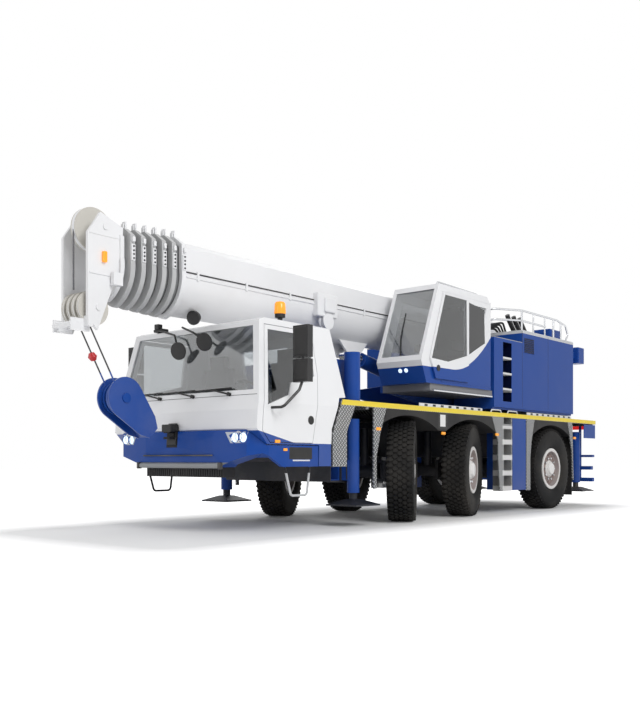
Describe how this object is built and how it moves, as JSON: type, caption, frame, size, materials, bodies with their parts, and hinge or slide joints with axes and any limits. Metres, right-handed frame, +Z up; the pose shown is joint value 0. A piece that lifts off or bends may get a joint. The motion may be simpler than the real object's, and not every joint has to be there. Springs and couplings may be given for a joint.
{
  "type": "mobile crane",
  "caption": "Wheeled mobile crane with telescopic boom laid over a driver's cab, separate operator's cab, steered wheels and folding outrigger stands.",
  "frame": {"origin": "on the ground under the middle of the whole machine's bounding box", "axes": "+X forward towards the driver's cab and boom head, +Y to the machine's left, +Z up"},
  "size_m": [10.87, 3.22, 3.5799],
  "materials": {
    "tyre": "matte, moulded tread",
    "rim_white": "satin white",
    "chassis_grey": "matte grey",
    "white_paint": "gloss white",
    "blue_paint": "gloss blue",
    "dark_metal": "matte dark",
    "jack_steel": "grey paint",
    "dark_plastic": "matte black",
    "lamp": "clear lens",
    "glass": "tinted",
    "glass_door": "tinted, framed",
    "bright_steel": "galvanised",
    "chrome": "polished"
  },
  "bodies": {
    "carrier": {"chassis_frame": "chassis_grey", "axles": "chassis_grey", "engine_block": "dark_metal", "deck": "white_paint", "mudguards": "dark_plastic", "deck_boxes": "blue_paint", "front_bumper": "blue_paint", "lamps": "lamp", "cab_shell": "white_paint", "cab_glass": "glass", "cab_interior": "dark_plastic"},
    "knuckle_body_1_left": {"knuckle_1_left": "chassis_grey"},
    "wheel_1_left": {"tyre_1_left": "tyre", "rim_1_left": "rim_white"},
    "knuckle_body_1_right": {"knuckle_1_right": "chassis_grey"},
    "wheel_1_right": {"tyre_1_right": "tyre", "rim_1_right": "rim_white"},
    "knuckle_body_2_left": {"knuckle_2_left": "chassis_grey"},
    "wheel_2_left": {"tyre_2_left": "tyre", "rim_2_left": "rim_white"},
    "knuckle_body_2_right": {"knuckle_2_right": "chassis_grey"},
    "wheel_2_right": {"tyre_2_right": "tyre", "rim_2_right": "rim_white"},
    "knuckle_body_3_left": {"knuckle_3_left": "chassis_grey"},
    "wheel_3_left": {"tyre_3_left": "tyre", "rim_3_left": "rim_white"},
    "knuckle_body_3_right": {"knuckle_3_right": "chassis_grey"},
    "wheel_3_right": {"tyre_3_right": "tyre", "rim_3_right": "rim_white"},
    "beam_front_left": {"outrigger_beam_front_left": "blue_paint"},
    "stand_front_left": {"jack_front_left": "jack_steel"},
    "beam_front_right": {"outrigger_beam_front_right": "blue_paint"},
    "stand_front_right": {"jack_front_right": "jack_steel"},
    "beam_rear_left": {"outrigger_beam_rear_left": "blue_paint"},
    "stand_rear_left": {"jack_rear_left": "jack_steel"},
    "beam_rear_right": {"outrigger_beam_rear_right": "blue_paint"},
    "stand_rear_right": {"jack_rear_right": "jack_steel"},
    "door_left": {"cab_door_left": "white_paint", "cab_door_glass_left": "glass"},
    "door_right": {"cab_door_right": "white_paint", "cab_door_glass_right": "glass"},
    "superstructure": {"turntable": "blue_paint", "housings": "blue_paint", "counterweight": "blue_paint", "winch": "dark_metal", "railing": "bright_steel", "opcab_shell": "white_paint", "opcab_glass": "glass", "opcab_seat": "dark_plastic"},
    "operator_door": {"opcab_door": "glass_door"},
    "boom": {"boom_base": "white_paint"},
    "section_1": {"boom_section_1": "white_paint"},
    "section_2": {"boom_section_2": "white_paint"},
    "section_3": {"boom_section_3": "white_paint"},
    "section_4": {"boom_section_4": "white_paint"},
    "section_5": {"boom_section_5": "white_paint"},
    "section_6": {"boom_section_6": "white_paint"},
    "cylinder_barrel": {"lift_barrel": "blue_paint"},
    "cylinder_rod": {"lift_rod": "chrome"},
    "hook": {"hook_block": "blue_paint"}
  },
  "joints": [
    {"name": "steer_1_left", "type": "hinge", "parent": "carrier", "child": "knuckle_body_1_left", "pos_m": [0.815, 0.8425, 0.7], "axis": [0, 0, 1], "range_deg": [-64, 4]},
    {"name": "roll_1_left", "type": "hinge", "parent": "knuckle_body_1_left", "child": "wheel_1_left", "pos_m": [0.68782, 1.04603, 0.7], "axis": [-0.5299, 0.848, 0], "continuous": true},
    {"name": "steer_1_right", "type": "hinge", "parent": "carrier", "child": "knuckle_body_1_right", "pos_m": [0.815, -0.8425, 0.7], "axis": [0, 0, 1], "range_deg": [-54, 3.38]},
    {"name": "roll_1_right", "type": "hinge", "parent": "knuckle_body_1_right", "child": "wheel_1_right", "pos_m": [0.92396, -1.05634, 0.7], "axis": [-0.454, 0.891, 0], "continuous": true},
    {"name": "steer_2_left", "type": "hinge", "parent": "carrier", "child": "knuckle_body_2_left", "pos_m": [-0.815, 0.8425, 0.7], "axis": [0, 0, 1], "range_deg": [-38, 2.38]},
    {"name": "roll_2_left", "type": "hinge", "parent": "knuckle_body_2_left", "child": "wheel_2_left", "pos_m": [-0.89314, 1.06942, 0.7], "axis": [-0.3256, 0.9455, 0], "continuous": true},
    {"name": "steer_2_right", "type": "hinge", "parent": "carrier", "child": "knuckle_body_2_right", "pos_m": [-0.815, -0.8425, 0.7], "axis": [0, 0, 1], "range_deg": [-32, 2]},
    {"name": "roll_2_right", "type": "hinge", "parent": "knuckle_body_2_right", "child": "wheel_2_right", "pos_m": [-0.74885, -1.0732, 0.7], "axis": [-0.2756, 0.9613, 0], "continuous": true},
    {"name": "steer_3_left", "type": "hinge", "parent": "carrier", "child": "knuckle_body_3_left", "pos_m": [-3.585, 0.8425, 0.7], "axis": [0, 0, 1], "range_deg": [-18, 18]},
    {"name": "roll_3_left", "type": "hinge", "parent": "knuckle_body_3_left", "child": "wheel_3_left", "pos_m": [-3.585, 1.0825, 0.7], "axis": [0, 1, 0], "continuous": true},
    {"name": "steer_3_right", "type": "hinge", "parent": "carrier", "child": "knuckle_body_3_right", "pos_m": [-3.585, -0.8425, 0.7], "axis": [0, 0, 1], "range_deg": [-18, 18]},
    {"name": "roll_3_right", "type": "hinge", "parent": "knuckle_body_3_right", "child": "wheel_3_right", "pos_m": [-3.585, -1.0825, 0.7], "axis": [0, 1, 0], "continuous": true},
    {"name": "extend_front_left", "type": "slide", "parent": "carrier", "child": "beam_front_left", "axis": [0, 1, 0], "range_m": [0, 1.45]},
    {"name": "lower_front_left", "type": "slide", "parent": "beam_front_left", "child": "stand_front_left", "axis": [0, 0, -1], "range_m": [0, 0.55]},
    {"name": "extend_front_right", "type": "slide", "parent": "carrier", "child": "beam_front_right", "axis": [0, -1, 0], "range_m": [0, 1.45]},
    {"name": "lower_front_right", "type": "slide", "parent": "beam_front_right", "child": "stand_front_right", "axis": [0, 0, -1], "range_m": [0, 0.55]},
    {"name": "extend_rear_left", "type": "slide", "parent": "carrier", "child": "beam_rear_left", "axis": [0, 1, 0], "range_m": [0, 1.45]},
    {"name": "lower_rear_left", "type": "slide", "parent": "beam_rear_left", "child": "stand_rear_left", "axis": [0, 0, -1], "range_m": [0, 0.55]},
    {"name": "extend_rear_right", "type": "slide", "parent": "carrier", "child": "beam_rear_right", "axis": [0, -1, 0], "range_m": [0, 1.45]},
    {"name": "lower_rear_right", "type": "slide", "parent": "beam_rear_right", "child": "stand_rear_right", "axis": [0, 0, -1], "range_m": [0, 0.55]},
    {"name": "open_door_left", "type": "hinge", "parent": "carrier", "child": "door_left", "pos_m": [3.72, 1.275, 1.5], "axis": [0, 0, -1], "range_deg": [0, 70]},
    {"name": "open_door_right", "type": "hinge", "parent": "carrier", "child": "door_right", "pos_m": [3.72, -1.275, 1.5], "axis": [0, 0, 1], "range_deg": [0, 70]},
    {"name": "slew", "type": "hinge", "parent": "carrier", "child": "superstructure", "pos_m": [-1.585, 0, 1.66], "axis": [0, 0, 1], "continuous": true},
    {"name": "slide_operator_door", "type": "slide", "parent": "superstructure", "child": "operator_door", "axis": [-1, 0, 0], "range_m": [0, 0.72]},
    {"name": "luff", "type": "hinge", "parent": "superstructure", "child": "boom", "pos_m": [-3.585, 0, 2.765], "axis": [0, -1, 0], "range_deg": [0, 80]},
    {"name": "extend_section_1", "type": "slide", "parent": "boom", "child": "section_1", "axis": [1, 0, 0], "range_m": [0, 6]},
    {"name": "extend_section_2", "type": "slide", "parent": "section_1", "child": "section_2", "axis": [1, 0, 0], "range_m": [0, 6]},
    {"name": "extend_section_3", "type": "slide", "parent": "section_2", "child": "section_3", "axis": [1, 0, 0], "range_m": [0, 6]},
    {"name": "extend_section_4", "type": "slide", "parent": "section_3", "child": "section_4", "axis": [1, 0, 0], "range_m": [0, 6]},
    {"name": "extend_section_5", "type": "slide", "parent": "section_4", "child": "section_5", "axis": [1, 0, 0], "range_m": [0, 6]},
    {"name": "extend_section_6", "type": "slide", "parent": "section_5", "child": "section_6", "axis": [1, 0, 0], "range_m": [0, 6]},
    {"name": "cylinder_swing", "type": "hinge", "parent": "superstructure", "child": "cylinder_barrel", "pos_m": [-2.285, 0, 1.85], "axis": [0, -1, 0], "range_deg": [0, 81.54]},
    {"name": "cylinder_stroke", "type": "slide", "parent": "cylinder_barrel", "child": "cylinder_rod", "axis": [0.9812, 0, 0.1929], "range_m": [0, 2.0416]},
    {"name": "hook_swing", "type": "hinge", "parent": "section_6", "child": "hook", "pos_m": [5.14, 0, 2.47], "axis": [0, 1, 0], "range_deg": [0, 48.01]}
  ],
  "couplings": [
    {"joint": "steer_1_right", "follows": "steer_1_left", "ratio": 0.84375},
    {"joint": "steer_2_left", "follows": "steer_1_left", "ratio": 0.59375},
    {"joint": "steer_2_right", "follows": "steer_1_left", "ratio": 0.5},
    {"joint": "steer_3_right", "follows": "steer_3_left", "ratio": 1},
    {"joint": "extend_section_2", "follows": "extend_section_1", "ratio": 1},
    {"joint": "extend_section_3", "follows": "extend_section_1", "ratio": 1},
    {"joint": "extend_section_4", "follows": "extend_section_1", "ratio": 1},
    {"joint": "extend_section_5", "follows": "extend_section_1", "ratio": 1},
    {"joint": "extend_section_6", "follows": "extend_section_1", "ratio": 1},
    {"joint": "cylinder_swing", "follows": "luff", "ratio": 1.0191},
    {"joint": "cylinder_stroke", "follows": "luff", "m_per_rad": 1.4619},
    {"joint": "hook_swing", "follows": "luff", "ratio": 0.6}
  ]
}
